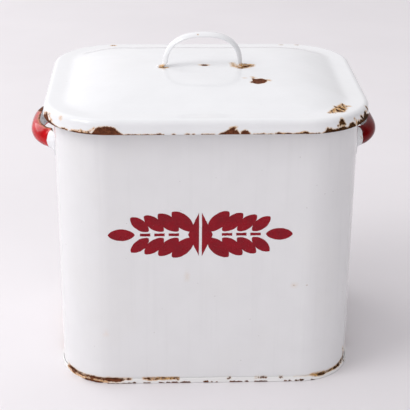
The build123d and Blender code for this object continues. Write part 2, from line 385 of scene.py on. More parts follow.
def inner_chips(points):
    """Distance to the chips where the inner face meets the pan's panel."""
    return np.abs(points[:, 2] - PAN_PANEL) - 8 * (swell(points * np.array([1, 1, 0]), 60, 31) - 0.62)


# ------ Base pan
def build_pan():
    rim_in = PAN_GAP
    rim_out = rim_in + PAN_SHEET
    riser_out = -SHEET - PAN_GAP
    riser_in = riser_out - PAN_SHEET
    lip_z = PAN_RIM - PAN_LIP
    profile = [(riser_out, PAN_PANEL)]
    profile += line(profile[-1], (riser_out, PAN_SHEET), 2)
    profile += line(profile[-1], (rim_in, PAN_SHEET), 2)
    profile += line(profile[-1], (rim_in, lip_z), 5)
    profile += arc((rim_in + PAN_LIP, lip_z), PAN_LIP, 180, 90, 3)[1:]
    profile += arc((rim_out - PAN_LIP, lip_z), PAN_LIP, 90, 0, 4)
    profile += line(profile[-1], (rim_out, PAN_FOOT), 7)
    profile += arc((rim_out - PAN_FOOT, PAN_FOOT), PAN_FOOT, 0, -90, 5)[1:]
    profile += line(profile[-1], (riser_in + PAN_FOOT, 0), 3)
    profile += arc((riser_in + PAN_FOOT, PAN_FOOT), PAN_FOOT, -90, -180, 4)[1:]
    profile += line(profile[-1], (riser_in, PAN_PANEL - PAN_SHEET), 3)
    rings = carried(profile, WALL_X, WALL_Y, WALL_CORNER)
    sizes = [0.97, 0.92, 0.84, 0.74, 0.62, 0.5, 0.38, 0.26, 0.14, 0.06]
    rings = shrunk(rings[0], sizes[::-1]) + rings + shrunk(rings[-1], sizes)
    points, faces = capped(rings, (0, 0, PAN_PANEL), (0, 0, PAN_PANEL - PAN_SHEET))
    way, z = way_round(points, PAN_CORNER), points[:, 2]
    beyond = np.hypot(np.maximum(np.abs(points[:, 0]) - CORNER_X, 0),
                      np.maximum(np.abs(points[:, 1]) - CORNER_Y, 0)) - WALL_CORNER
    seam = strokes(way, z, SEAM)
    chip = np.minimum.reduce([seam, strokes(way, z, UNDERSIDE) - 0.2, fringe(points, 0.3, 0.6, 34, 41, 5.0),
                              fringe(points, PAN_RIM, 0.6, 40, 47, 8.0)])
    chip = np.where(beyond > 0, chip, 3.0)
    stain = np.maximum.reduce([faded(seam, 0.7, 2.6) * clean_front(way),
                               faded(strokes(way, z, SOAKED), 1, 1.3),
                               faded(chip, 1, 6) * far_side(points)])
    stain = np.where(beyond > 0, stain, 0.0)
    return make_object("Base_Pan", points, faces, layers={"chip": chip, "stain": stain})


# ------ Lid
def lid_top():
    """Inset, corner radius and height of the lid's upper side, from the rounding in to the cap."""
    step, spread, reach = 0.25, 3.0, 60     # softens the profile's kinks over a few millimetres
    fine = np.arange(0, 150, step)
    way_in = np.clip((fine - LID_BAND) / DOME_RUN, 0, 1)
    height = CREST + DOME_RISE * (1 - (1 - way_in) ** DOME_FULLNESS)
    corner = LID_CORNER - np.minimum(fine, LID_BAND)
    corner = corner + (CAP_CORNER - LID_CORNER + LID_BAND) * way_in
    weights = np.exp(-0.5 * (np.arange(-reach, reach + 1) * step / spread) ** 2)
    weights /= weights.sum()
    height = np.convolve(np.pad(height, reach, mode="edge"), weights, mode="valid")
    corner = np.convolve(np.pad(corner, reach, mode="reflect", reflect_type="odd"), weights, mode="valid")
    end = LID_BAND + DOME_RUN
    insets = np.concatenate([np.arange(LID_ROUND, 34, 1.3), np.arange(34, end, 2.3), [end]])
    return insets, np.interp(insets, fine, corner), np.minimum(np.interp(insets, fine, height), CAP)


def lid_sag(points):
    """How far the lid's sheet lies under its true place."""
    near_edge = np.maximum(np.abs(points[:, 0]) / LID_X, np.abs(points[:, 1]) / LID_Y)
    depth = 0.16 + 0.3 * (1 - smooth_step(0.6, 0.9, near_edge))
    return depth * swell(points, 85, 51)


def build_lid():
    dome = [ring(LID_X - inset, LID_Y - inset, corner, z) for inset, corner, z in zip(*lid_top())][::-1]
    cap = shrunk(dome[0], [0.06, 0.14, 0.22, 0.31, 0.4, 0.48, 0.56, 0.64, 0.71, 0.77, 0.83, 0.89, 0.95])
    low = LID_EDGE + HEM
    rounding = (-LID_ROUND, CREST - LID_ROUND)
    turn = math.degrees(math.acos((HEM - SHEET) / HEM))
    side = arc(rounding, LID_ROUND, 90, 0, ROUND_ROWS)[1:]
    side += line(side[-1], (0, low), SKIRT_ROWS)
    side += arc((-HEM, low), HEM, 0, -360 + turn, HEM_ROWS)[1:]
    side += line(side[-1], (-SHEET, rounding[1]), 5)
    side += arc(rounding, LID_ROUND - SHEET, 0, 90, 8)[1:]
    rim = carried(side, LID_X, LID_Y, LID_CORNER)
    drop = np.array([0, 0, SHEET])
    under = [outline - drop for outline in dome[::-1][1:] + cap[::-1]]
    rings = cap + dome + rim + under
    inside_from = len(cap + dome) + ROUND_ROWS + SKIRT_ROWS + HEM_ROWS
    points, faces = capped(rings, (0, 0, CAP), (0, 0, CAP - SHEET))
    rest = points.copy()
    points[:, 2] -= lid_sag(rest) * smooth_step(LID_EDGE, CREST - 3, rest[:, 2])
    facing = np.vstack([np.tile(ROUND[:, 2:4], (len(rings), 1)), [(0, 0), (0, 0)]])
    skirt = 1 - smooth_step(CREST - LID_ROUND, CREST, rest[:, 2])
    lean = FLARE * smooth_step(low + 0.5, low + 6.5, rest[:, 2]) * skirt
    points[:, :2] -= facing * (0.3 * swell(rest, 70, 55) * skirt + lean)[:, None]
    inner = np.arange(len(points)) >= inside_from * AROUND
    chip, stain = lid_wear(rest, inner)
    # the enamel's thickness is gone inside a chip
    sink = 0.28 * (1 - smooth_step(-0.6, 0.2, chip)) * ~inner
    points[:, 2] -= sink * (1 - skirt)
    points[:, :2] -= facing * (sink * skirt)[:, None]
    return make_object("Lid_Pressing", points, faces, layers={"chip": chip, "stain": stain})


# Wear on the lid's skirt as outlines of (way round, height), then as strokes with a radius
SKIRT_FOOT = LID_EDGE - 0.5     # what those heights are counted from
SKIRT_PATCHES = [
    [(-196, 0), (-190, 4.6), (-187.4, 7.4), (-184.4, 5.4), (-183.6, 8.6), (-180.6, 9.6), (-177.9, 7.6),
     (-175.6, 5.4), (-173.2, 3.8), (-168.6, 4), (-166.4, 2.6), (-162.4, 2.8), (-158, 0)], [(-114.5, 0),
     (-112.9, 1.8), (-111, 4.6), (-108.8, 7.2), (-106.4, 8.6), (-103.5, 8.3), (-100.6, 8.9), (-96.4, 8.7),
     (-93.6, 8.5), (-91.4, 7.8), (-88.8, 5.6), (-86.4, 3.2), (-84, 1.8), (-81.2, 0)], [(9, 0), (11.3, 2),
     (14.2, 2.6), (18, 4.8), (20.6, 6.4), (22.8, 7.6), (25.6, 7.2), (24.2, 5.4), (24.9, 4), (26.2, 4.8),
     (28, 3.6), (28.8, 0)], [(30, 0), (31.2, 3.2), (33.9, 4.9), (36.8, 4.2), (38.8, 2.2), (39.6, 0)],
    [(108.5, 0), (111.5, 1.4), (113.9, 3), (115.4, 5.8), (117.1, 4.4), (119.4, 5), (120.8, 3.6),
     (125.3, 3.2), (128.9, 3.8), (132, 4), (135.3, 4.6), (138.2, 2.4), (141, 2.6), (143.7, 5.4),
     (147.5, 6.2), (151, 3.6), (153.6, 0)], [(154.4, 0), (156.3, 4.4), (158.3, 5.8), (160.4, 3.6),
     (162.3, 5.8), (164.6, 4), (168, 4.6), (170.1, 4.8), (171.6, 7.4), (172.4, 10.4), (175.4, 10.8),
     (177.2, 8.4), (177.6, 6.4), (180.4, 6.2), (185, 4.6), (190, 3), (200, 0)], [(129.2, 6.2), (129.8, 9.8),
     (131.6, 12.2), (134.1, 12.2), (134.9, 9.8), (137.4, 6.2), (133.1, 7.4)],
]
SKIRT_STROKES = [
    [(-176, 1, 0.8), (-171.8, 1.2, 1.3), (-163.2, 1, 1.1), (-156, 0.9, 0.6), (-150, 0.9, 0.25)],
    [(-149.7, 1.2, 0.3), (-144.6, 2, 0.8), (-142.4, 0.9, 0.6)], [(-138, 0.9, 0.45), (-136.6, 0.9, 0.4)],
    [(-134.7, 1.5, 0.9), (-129.9, 1.4, 0.9), (-126.5, 1.2, 0.7), (-120.9, 1, 0.8), (-115.4, 1.4, 1)],
    [(-125.2, 4.2, 0.3), (-124.7, 2.6, 0.45)], [(-118.6, 3, 0.3), (-116.8, 3.6, 0.3)], [(-80, 0.9, 0.6),
     (-70, 0.9, 0.3), (-60, 1, 0.4), (-44, 0.9, 0.2)], [(-49.6, 1.4, 0.5), (-47, 1.6, 0.6)],
    [(-35, 1.1, 0.4), (-33, 1.1, 0.35)], [(-22.5, 1.1, 0.45), (-19.6, 1.1, 0.5)], [(-15.6, 1.2, 0.35),
     (-14.6, 1.2, 0.35)], [(-7, 1, 0.4), (5, 0.9, 0.35)], [(43.1, 0.9, 0.2), (50.8, 1, 0.4),
     (52.8, 1.3, 0.6), (54, 0.9, 0.4)], [(57, 0.9, 0.3), (61, 0.9, 0.3)], [(64.4, 0.9, 0.4), (67, 1.8, 0.8),
     (70.2, 1.1, 0.5)], [(73, 1, 0.4), (76, 1.4, 0.6), (80, 0.9, 0.4)], [(82, 1, 0.5), (84.7, 1.1, 0.5)],
    [(87, 1.1, 0.6), (90.4, 1.4, 0.8), (92.8, 2.4, 1), (95, 1.6, 0.9), (96, 0.9, 0.4)], [(98, 0.9, 0.4),
     (107, 0.9, 0.4)], [(162.6, 9, 0.9), (165.4, 7.4, 1.1), (167.4, 5.4, 1)], [(182.5, 12.4, 0.9),
     (187.4, 8.2, 1.2)], [(150.6, 9.5, 0.45), (151.7, 8, 0.5)], [(127.7, 6.6, 0.5)] * 2, [(198, 1.6, 0.9),
     (206, 1.4, 0.5)],
]
SKIRT_SOAKED = [
    [(-192, 6, 0.8), (-178, 10, 0.6), (-166, 5, 0.6)], [(-149, 2.2, 0.3), (-141, 2, 0.4)],
    [(-136, 2.4, 0.6), (-126, 3.2, 0.8), (-118, 2.6, 0.8)], [(-115.6, 4.4, 0.6), (-110.8, 7.4, 0.6)],
    [(64, 1.8, 0.4), (73, 1.6, 0.4)], [(86, 1.8, 0.4), (92, 2.8, 0.8), (96, 2, 0.4)], [(20, 7.2, 0.5),
     (26.4, 8.4, 0.5)], [(131, 5.8, 0.6), (136, 5.8, 0.6)], [(153.8, 3.6, 1), (154.4, 6.6, 0.6)],
    [(170, 7.6, 0.9), (180, 9, 1.2)],
]
# Wear on the top as outlines of (x, y), then as strokes of (x, y, radius)
TOP_PATCHES = [
    [(47.9, -42.2), (50, -44.3), (51.4, -46.7), (54.2, -44), (57.7, -44.4), (62, -48.3), (63.4, -47.9),
     (62, -52.4), (60.3, -56.4), (57.6, -58.4), (52.4, -60.4), (48.9, -59.3), (47.1, -56.2), (44.8, -57.6),
     (45.7, -53.8), (47.7, -52.1)], [(-2.8, 5.4), (-0.4, 7.6), (3.4, 5.4), (3.6, 1.6), (0.4, -0.8),
     (-2.2, 1.6)],
]
TOP_STROKES = [
    [(38.4, -41.8, 0.3), (42, -41.6, 0.3)], [(32, 6.6, 0.6), (33, 4, 0.6)], [(36, 4, 0.6), (38, 1, 1)],
    [(33.4, -2.6, 0.5), (36, -2.6, 0.6)], [(-45, -4.6, 0.5), (-42, -5, 0.5)], [(35.4, -7.6, 1),
     (39.8, -8, 1.7)], [(41, -4.6, 1.4), (43.6, -2.8, 2.1), (46.4, 1.4, 2.2), (49.6, 0.4, 1.4),
     (51.6, 0.8, 0.6)], [(31.6, 9.6, 0.5), (33.4, 6.4, 0.8)], [(-101.4, 128.2, 0.7), (-99, 128.2, 0.6)],
    [(92, 128, 0.25), (96, 128, 0.25)], [(110, 127.5, 0.25), (114, 127.5, 0.25)], [(134.4, -90.9, 0.6),
     (134.1, -95.6, 0.8), (135.4, -100.3, 0.8)], [(125.4, -100.4, 0.5), (128, -103, 0.7)],
    [(130.3, -100.8, 0.9), (132.4, -107.4, 1.2)], [(126.6, -107.3, 0.9), (127.9, -113.4, 1.2)],
    [(133.7, -105.5, 0.7), (134.4, -110.5, 0.6)], [(129.9, -111.6, 0.8), (131.5, -115.3, 0.8)],
    [(121, -110.2, 0.6), (121.4, -117.5, 0.7)], [(117.4, -117.2, 0.4), (118.5, -119, 0.4)],
    [(123, -116.1, 0.4), (124.5, -117.9, 0.4)], [(137.5, -98.8, 0.6)] * 2,
]
TOP_SOAKED = [
    [(31, 11, 1.4), (32, 4, 1.8), (33.4, -3.4, 1.6), (40, -7.6, 1.6)], [(38.6, 3.4, 2.2), (50.6, 4.6, 1.6)],
    [(44, -6, 1), (52, 0.6, 1)], [(-45.4, -5.4, 0.8), (-42, -6.6, 1.2), (-38.4, -4.4, 0.8)],
    [(-3.4, 4.8, 0.9), (4, 4.2, 0.9)], [(64.6, -51, 0.6), (65, -48.6, 0.4)], [(48, -39.2, 0.6),
     (50.6, -40.4, 0.6)], [(118.4, -117, 1), (122, -113.4, 2.2), (127, -108, 3.4), (131.6, -101.4, 3.4),
     (134.4, -94.6, 1.6)], [(127.6, -114, 2), (131.4, -112.4, 2.2), (135.6, -102.4, 1.4)],
    [(137.4, -97, 0.9), (141, -97.6, 0.4)], [(-102, 127, 0.6), (-98, 127, 0.6)],
]


def lid_wear(points, inner):
    x, y, z = points.T
    way, up = way_round(points, LID_CORNER), z - SKIRT_FOOT
    above = np.where(z > CREST - 3, 0.0, FAR)
    chip = np.minimum.reduce([patches(way, up, SKIRT_PATCHES) - 0.25, strokes(way, up, SKIRT_STROKES),
                              patches(x, y, TOP_PATCHES) + above, strokes(x, y, TOP_STROKES) + above,
                              fringe(points, LID_EDGE, 0.6, 48, 61, 9.0)])
    spots = [(-155.8, -102.5, 291.3, 1.6, 1.6, 1.6), (-143.9, -117.6, 292.3, 2, 1.8, 1.8)]
    stain = np.maximum.reduce([faded(strokes(x, y, TOP_SOAKED) + above, 1.1, 1.8),
                               faded(np.maximum(strokes(way, up, SKIRT_SOAKED), 0), 0.8, 1.3),
                               faded(np.maximum(blobs(points, spots), 0), 0.55, 3),
                               faded(chip, 0.5, 3)])
    chip = np.where(inner, fringe(points, LID_EDGE, 0.5, 30, 71, 5.0), chip)
    return chip, np.where(inner, 0.0, stain)


# ------ Straps
def strap_object(name, crest, inward, across, width, hollow, measures):
    """A hollow strap with rounded edges along a path of crest points."""
    arc_steps, edge_steps = 22, 6
    half = STRAP / 2
    rings = []
    for p, n, w, h in zip(crest, inward, width, hollow):
        # a section deeper than this share of its width is a stretched arc
        shallow = min(h, 0.46 * w)
        radius = (w * w / 4 + shallow * shallow) / (2 * shallow)
        middle = radius - half
        inner = radius - STRAP
        a = math.asin(min(1.0, w / 2 / radius)) - half / middle
        outer_turns = np.linspace(-a, a, arc_steps + 1)
        section = [(radius * math.sin(t), radius - radius * math.cos(t)) for t in outer_turns]
        for end, turn in ((a, 1), (-a, -1)):
            centre = (middle * math.sin(end), radius - middle * math.cos(end))
            for step in range(1, edge_steps):
                s = math.pi * step / edge_steps
                out = math.cos(s) * turn
                on = math.sin(s)
                section.append((centre[0] + half * (math.sin(end) * out + turn * math.cos(end) * on),
                                centre[1] + half * (-math.cos(end) * out + turn * math.sin(end) * on)))
            if turn == 1:
                section += [(inner * math.sin(t), radius - inner * math.cos(t)) for t in outer_turns[::-1]]
        section = np.array(section) * np.array([1, h / shallow])
        rings.append(p + section[:, :1] * across + section[:, 1:] * n)
    points = np.vstack(rings)
    many = len(rings[0])
    faces = band_faces(len(rings), many)
    faces.append(tuple(range(many))[::-1])
    faces.append(tuple(range(len(points) - many, len(points))))
    layers = {layer: measure(points) for layer, measure in measures.items()}
    if "paint" in layers:
        # the hollow side was never painted
        place = np.tile(np.arange(many), len(rings))
        hidden = (place >= arc_steps + edge_steps) & (place <= 2 * arc_steps + edge_steps)
        layers["paint"] = np.where(hidden, -4.0, layers["paint"])
    return make_object(name, points, faces, layers=layers)


def path_normals(crest, across, toward):
    """Unit vectors across the path, turned to the side of a given point."""
    normal = np.cross(np.gradient(crest, axis=0), across)
    normal /= np.linalg.norm(normal, axis=1)[:, None]
    side = np.sign(np.einsum("ij,ij->i", normal, toward - crest))
    return normal * np.where(side == 0, 1, side)[:, None]


def end_width(width, from_end, corner):
    """Width of a tab whose end has rounded corners."""
    e = np.clip(from_end, 0, corner)
    return width - 2 * corner + 2 * np.sqrt(np.maximum(corner ** 2 - (corner - e) ** 2, 0.01))


# Chips of the side handles, as (y, height above the handle's middle, radius)
RIGHT_CHIPS = [[(-57.2, 3.7, 0.05), (-56.2, 1.3, 0.25), (-55.6, 0.3, 0.1)],
               [(-50.6, -8.9, 0.3), (-49, -9.9, 0.4)]]
LEFT_CHIPS = [[(10, 10.5, 0.4), (20, 9.5, 1.4), (28, 8.1, 3.2), (37, 7.5, 4.2), (46, 8.5, 2.6),
               (54, 10.5, 1)]]


def build_side_handle(name, side):
    end = SIDE_SPAN + SIDE_TAB
    y = end * np.sin(np.linspace(-1, 1, 171) * math.pi / 2)
    past = np.maximum(0, np.abs(y) - CORNER_Y)
    wall = CORNER_X + np.sqrt(WALL_CORNER ** 2 - past ** 2)
    loop = SIDE_REACH * (1 - (np.abs(y) / SIDE_SPAN) ** SIDE_POWER)
    lift = (loop + np.hypot(loop, 2.0)) / 2
    gap = -WELD_SINK * smooth_step(SIDE_SPAN - 4, SIDE_SPAN + 4, np.abs(y))
    crest = np.stack([wall + gap + STRAP + lift, y, np.full_like(y, SIDE_MIDDLE)], axis=1)
    across = np.array([0.0, 0.0, 1.0])
    inward = path_normals(crest, across, np.array([0, 0, SIDE_MIDDLE]))
    # the rims hug the wall at first and leave it where the loop is far enough out
    free = smooth_step(9, 16, loop)
    hollow = np.maximum(loop, 0) * (1 - free) + SIDE_HOLLOW * free + 0.04
    width = end_width(SIDE_HEIGHT, end - np.abs(y), 4.0)
    crest[:, 0] *= side
    inward[:, 0] *= side

    def paint(p):
        """Distance into the red part, from its border near each end."""
        bend = (7.0 if side < 0 else 9.0) * np.abs((p[:, 2] - SIDE_MIDDLE) / (SIDE_HEIGHT / 2)) ** 3
        return 54.8 - bend + 0.8 * (swell(p, 9, 81) - 0.5) - np.abs(p[:, 1])

    def chip(p):
        along, up = p[:, 1], p[:, 2] - SIDE_MIDDLE
        if side > 0:
            return strokes(along, up, RIGHT_CHIPS)
        rim = SIDE_HEIGHT / 2 - up - 0.45 * swell(p, 13, 84)
        return np.minimum(rim + FAR * (np.abs(along) > 55), strokes(along, up, LEFT_CHIPS))

    return strap_object(name, crest, inward, across, width, hollow,
                        {"paint": paint, "chip": chip, "stain": lambda p: faded(chip(p), 0.3, 4)})


# Chips and stains of the arch and of the lid round its feet, as ellipsoids
ARCH_CHIPS = [(-7, -5.2, 344.8, 0.3, 0.6, 0.3), (36.6, -5.6, 309.8, 2, 1.4, 0.8), (45, 3, 310.2, 3, 2, 1.2),
              (43, -4.6, 310.2, 2.4, 0.8, 1)]
ARCH_STAINS = [(40.6, -3, 309.6, 7, 6, 1.8), (-42.6, -3.5, 309.6, 3.6, 4, 1)]


def build_lid_handle():
    """The arch, from the end of the right-hand tab over the crown to the end of the left one."""
    top = CAP + STRAP
    tab = [(ARCH_SPAN + ARCH_TAB - s, top) for s in np.linspace(0, ARCH_TAB - ARCH_BEND, 9)]
    foot = arc((ARCH_SPAN + ARCH_BEND, top + ARCH_BEND), ARCH_BEND, -90, -180, 8)[1:]
    power = 2 / ARCH_POWER
    start = math.asin(((top + ARCH_BEND - CAP) / ARCH_RISE) ** (1 / power))
    turns = np.linspace(start, math.pi / 2, 44)[1:-1]
    arch = [(ARCH_SPAN * math.cos(t) ** power, CAP + ARCH_RISE * math.sin(t) ** power) for t in turns]
    half = np.array(tab + foot + arch + [(0, CAP + ARCH_RISE)])
    # even steps along the way
    far = np.concatenate([[0], np.cumsum(np.linalg.norm(np.diff(half, axis=0), axis=1))])
    even = np.linspace(0, far[-1], 84)
    half = np.stack([np.interp(even, far, half[:, 0]), np.interp(even, far, half[:, 1])], axis=1)
    whole = np.vstack([half, half[::-1][1:] * np.array([-1, 1])])
    lean = ARCH_SHIFT + ARCH_LEAN * (whole[:, 1] - CAP) / ARCH_RISE
    height = np.minimum(whole[:, 1], CAP + ARCH_RISE - 0.01)
    crest = np.stack([whole[:, 0] + lean, np.zeros(len(whole)), height], axis=1)
    across = np.array([0.0, 1.0, 0.0])
    inward = path_normals(crest, across, np.array([0, 0, CAP - ARCH_SPAN]))
    crown = np.clip((crest[:, 2] - CAP) / ARCH_RISE, 0, 1) ** 1.25
    from_end = np.concatenate([even, even[::-1][1:]])
    width = end_width(ARCH_FOOT_WIDTH + (ARCH_CROWN_WIDTH - ARCH_FOOT_WIDTH) * crown, from_end, 4.6)
    deep = ARCH_HOLLOW_FOOT + (ARCH_HOLLOW_CROWN - ARCH_HOLLOW_FOOT) * crown
    hollow = deep * smooth_step(4.0, 10.0, from_end) + 0.04

    def chip(p):
        return blobs(p, ARCH_CHIPS)

    def stain(p):
        return np.maximum(faded(blobs(p, ARCH_STAINS), 1, 2.5), faded(chip(p), 0.5, 2))

    return strap_object("Lid_Handle", crest, inward, across, width, hollow, {"chip": chip, "stain": stain})


# ------ Ornament on the front: two ears of wheat that meet at a split lozenge
def pointed_oval(length, width, steps=30):
    """Outline of a grain, its tip toward +X, its middle at the origin."""
    t = np.linspace(0, 2 * math.pi, steps, endpoint=False)
    x = length / 2 * np.cos(t)
    y = width / 2 * np.sign(np.sin(t)) * np.abs(np.sin(t)) ** 1.35
    return np.stack([x, y], axis=1)


def polygon(corners, steps):
    """Outline through some corners, with that many points to a side."""
    ends = zip(corners, corners[1:] + corners[:1])
    return np.vstack([np.linspace(a, b, steps, endpoint=False) for a, b in ends])


def placed(outline, x, z, turn, flip):
    c, s = math.cos(math.radians(turn)), math.sin(math.radians(turn))
    out = outline @ np.array([[c, s], [-s, c]]) + np.array([x, z])
    if flip:
        out = out * np.array([-1, 1])
    return out


def ornament_outlines():
    """Outlines about the ornament's middle, the right-hand ear's first."""
    bar = polygon([(-5.2, -1.5), (5.2, -1.5), (5.2, 1.5), (-5.2, 1.5)], 6)
    lozenge = polygon([(1.4, -24.0), (12.5, 0), (1.4, 24.0)], 12)
    shapes = []
    for flip in (False, True):
        shapes.append(placed(pointed_oval(TIP_LENGTH, TIP_WIDTH), TIP_AT, 0, 0, flip))
        for step in range(4):
            grow = 1 + 0.09 * step
            grain = pointed_oval(GRAIN_LENGTH * grow, GRAIN_WIDTH * grow)
            x, z, turn = GRAIN_AT - step * GRAIN_PITCH, 11.4 + step, 40 + 1.5 * step
            for up in (1, -1):
                shapes.append(placed(grain, x, up * z, up * turn, flip))
        for step in range(3):
            shapes.append(placed(bar, BAR_AT - step * GRAIN_PITCH, 0, 0, flip))
        shapes.append(placed(lozenge, 0, 0, 0, flip))
    return shapes


def build_ornament():
    """Each outline as a thin plate on the dented wall, with slightly uneven edges."""
    points, faces = [], []
    rng = np.random.default_rng(5)
    start = 0
    for outline in ornament_outlines():
        outline = outline + rng.normal(scale=0.09, size=outline.shape)
        ahead = np.roll(outline, -1, axis=0)
        if (outline[:, 0] * ahead[:, 1] - outline[:, 1] * ahead[:, 0]).sum() < 0:
            outline = outline[::-1]
        middle = outline.mean(axis=0)
        many = len(outline)
        levels = [middle + (outline - middle) * size for size in (0.45, 0.8, 1.0, 1.0)]
        flat = np.vstack([middle[None, :]] + levels) + np.array([ORNAMENT_X, ORNAMENT_Z])
        at_wall = np.stack([flat[:, 0], np.full(len(flat), -WALL_Y), flat[:, 1]], axis=1)
        proud = np.full(len(flat), ORNAMENT_PROUD)
        proud[-2 * many:-many] = ORNAMENT_EDGE
        proud[-many:] = ORNAMENT_ROOT
        at_wall[:, 1] += wall_hollow(at_wall) - proud
        points.append(at_wall)
        first = start + 1
        for i in range(many):
            j = (i + 1) % many
            faces.append((start, first + i, first + j))
            for a in range(first, first + 3 * many, many):
                faces.append((a + i, a + many + i, a + many + j, a + j))
        faces.append(tuple(range(first + 3 * many, first + 4 * many))[::-1])
        start += len(flat)
    return make_object("Front_Ornament", np.vstack(points), faces, smooth=False)


# ------ Materials
class Tree:
    """Short names for the shader nodes of a material or a world."""

    def __init__(self, owner):
        owner.use_nodes = True
        self.owner = owner
        self.tree = owner.node_tree
        self.tree.nodes.clear()
        self.place = self.node("TexCoord").outputs

    def node(self, kind, inputs=(), **settings):
        """A new node with its settings and with a value or a link at each input that is named."""
        made = self.tree.nodes.new("ShaderNode" + kind)
        for setting, value in settings.items():
            setattr(made, setting, value)
        for socket, value in dict(inputs).items():
            if isinstance(value, bpy.types.NodeSocket):
                self.tree.links.new(value, made.inputs[socket])
            else:
                made.inputs[socket].default_value = value
        return made

    def surface(self, shader, output="OutputMaterial"):
        self.node(output, {"Surface": shader.outputs[0]})
        return self.owner

    @cached_property
    def mm(self):
        """Place on the object in millimetres."""
        inputs = {0: self.place["Object"], "Scale": 1 / MM}
        return self.node("VectorMath", inputs, operation="SCALE").outputs[0]

    def math(self, operation, a, b, clamp=False):
        return self.node("Math", {0: a, 1: b}, operation=operation, use_clamp=clamp).outputs[0]

    def times(self, a, b, clamp=False):
        return self.math("MULTIPLY", a, b, clamp)

    def coordinate(self, axis):
        return self.node("SeparateXYZ", {0: self.mm}).outputs[axis]

    def stretched(self, x, y, z):
        return self.node("VectorMath", {0: self.mm, 1: (x, y, z)}, operation="MULTIPLY").outputs[0]

    def noise(self, size, detail=3.0, rough=0.55, where=None):
        """Noise from 0 to 1 whose features are about that many millimetres across."""
        inputs = {"Vector": where or self.mm, "Scale": 1 / size, "Detail": detail, "Roughness": rough}
        return self.node("TexNoise", inputs).outputs["Fac"]

    def wobble(self, size, detail, rough, height):
        """Noise of that whole height about zero."""
        return self.times(self.math("SUBTRACT", self.noise(size, detail, rough), 0.5), height)

    def specks(self, size):
        """Distance to scattered points, one to each cell of that size, and the cell's colour."""
        node = self.node("TexVoronoi", {"Vector": self.mm, "Scale": 1 / size})
        return node.outputs["Distance"], node.outputs["Color"]

    def attribute(self, name):
        return self.node("Attribute", attribute_name=name).outputs["Fac"]

    def between(self, value, low, high, out_low=0.0, out_high=1.0):
        """Smooth change of a value from low to high."""
        inputs = {"Value": value, "From Min": low, "From Max": high, "To Min": out_low, "To Max": out_high}
        return self.node("MapRange", inputs, interpolation_type="SMOOTHSTEP").outputs["Result"]

    def mix(self, factor, a, b):
        a, b = (c if isinstance(c, bpy.types.NodeSocket) else (*c, 1) for c in (a, b))
        node = self.node("Mix", {"Factor": factor, "A": a, "B": b}, data_type="RGBA")
        return next(s for s in node.outputs if s.type == "RGBA")

    def bump(self, height, distance, normal=None):
        inputs = {"Strength": 1.0, "Distance": distance * MM, "Height": height}
        if normal is not None:
            inputs["Normal"] = normal
        return self.node("Bump", inputs).outputs["Normal"]

    def principled(self, colour, rough, normal, specular):
        inputs = {"Base Color": colour, "Roughness": rough, "Normal": normal, "Specular IOR Level": specular}
        return self.surface(self.node("BsdfPrincipled", inputs))


def darker(colour, by):
    return tuple(c * by for c in colour)


def rust_colour(t):
    """Brown rust, redder toward -X, with paler patches and dark pits."""
    way = t.between(t.coordinate("X"), 62.0, 118.0)
    dark = t.mix(way, (0.098, 0.029, 0.013), (0.038, 0.014, 0.004))
    pale = t.mix(way, (0.205, 0.068, 0.03), (0.105, 0.042, 0.011))
    base = t.mix(t.between(t.noise(2.6, 4), 0.42, 0.64), dark, pale)
    pits = t.between(t.noise(0.9, 3), 0.46, 0.6)
    return t.mix(t.times(pits, 0.4), base, (0.026, 0.01, 0.004))


WHITE = (0.825, 0.835, 0.85)
STAIN_LEFT, STAIN_RIGHT = (0.8, 0.5, 0.27), (0.62, 0.34, 0.075)
STAIN_RIPE, STAIN_SPECK = (0.48, 0.22, 0.05), (0.085, 0.036, 0.014)
CHIP_HALO, CHIP_GROUND = (0.66, 0.4, 0.17), (0.14, 0.06, 0.02)
PINHOLE, WORN_RED = (0.17, 0.13, 0.11), (0.1, 0.012, 0.012)


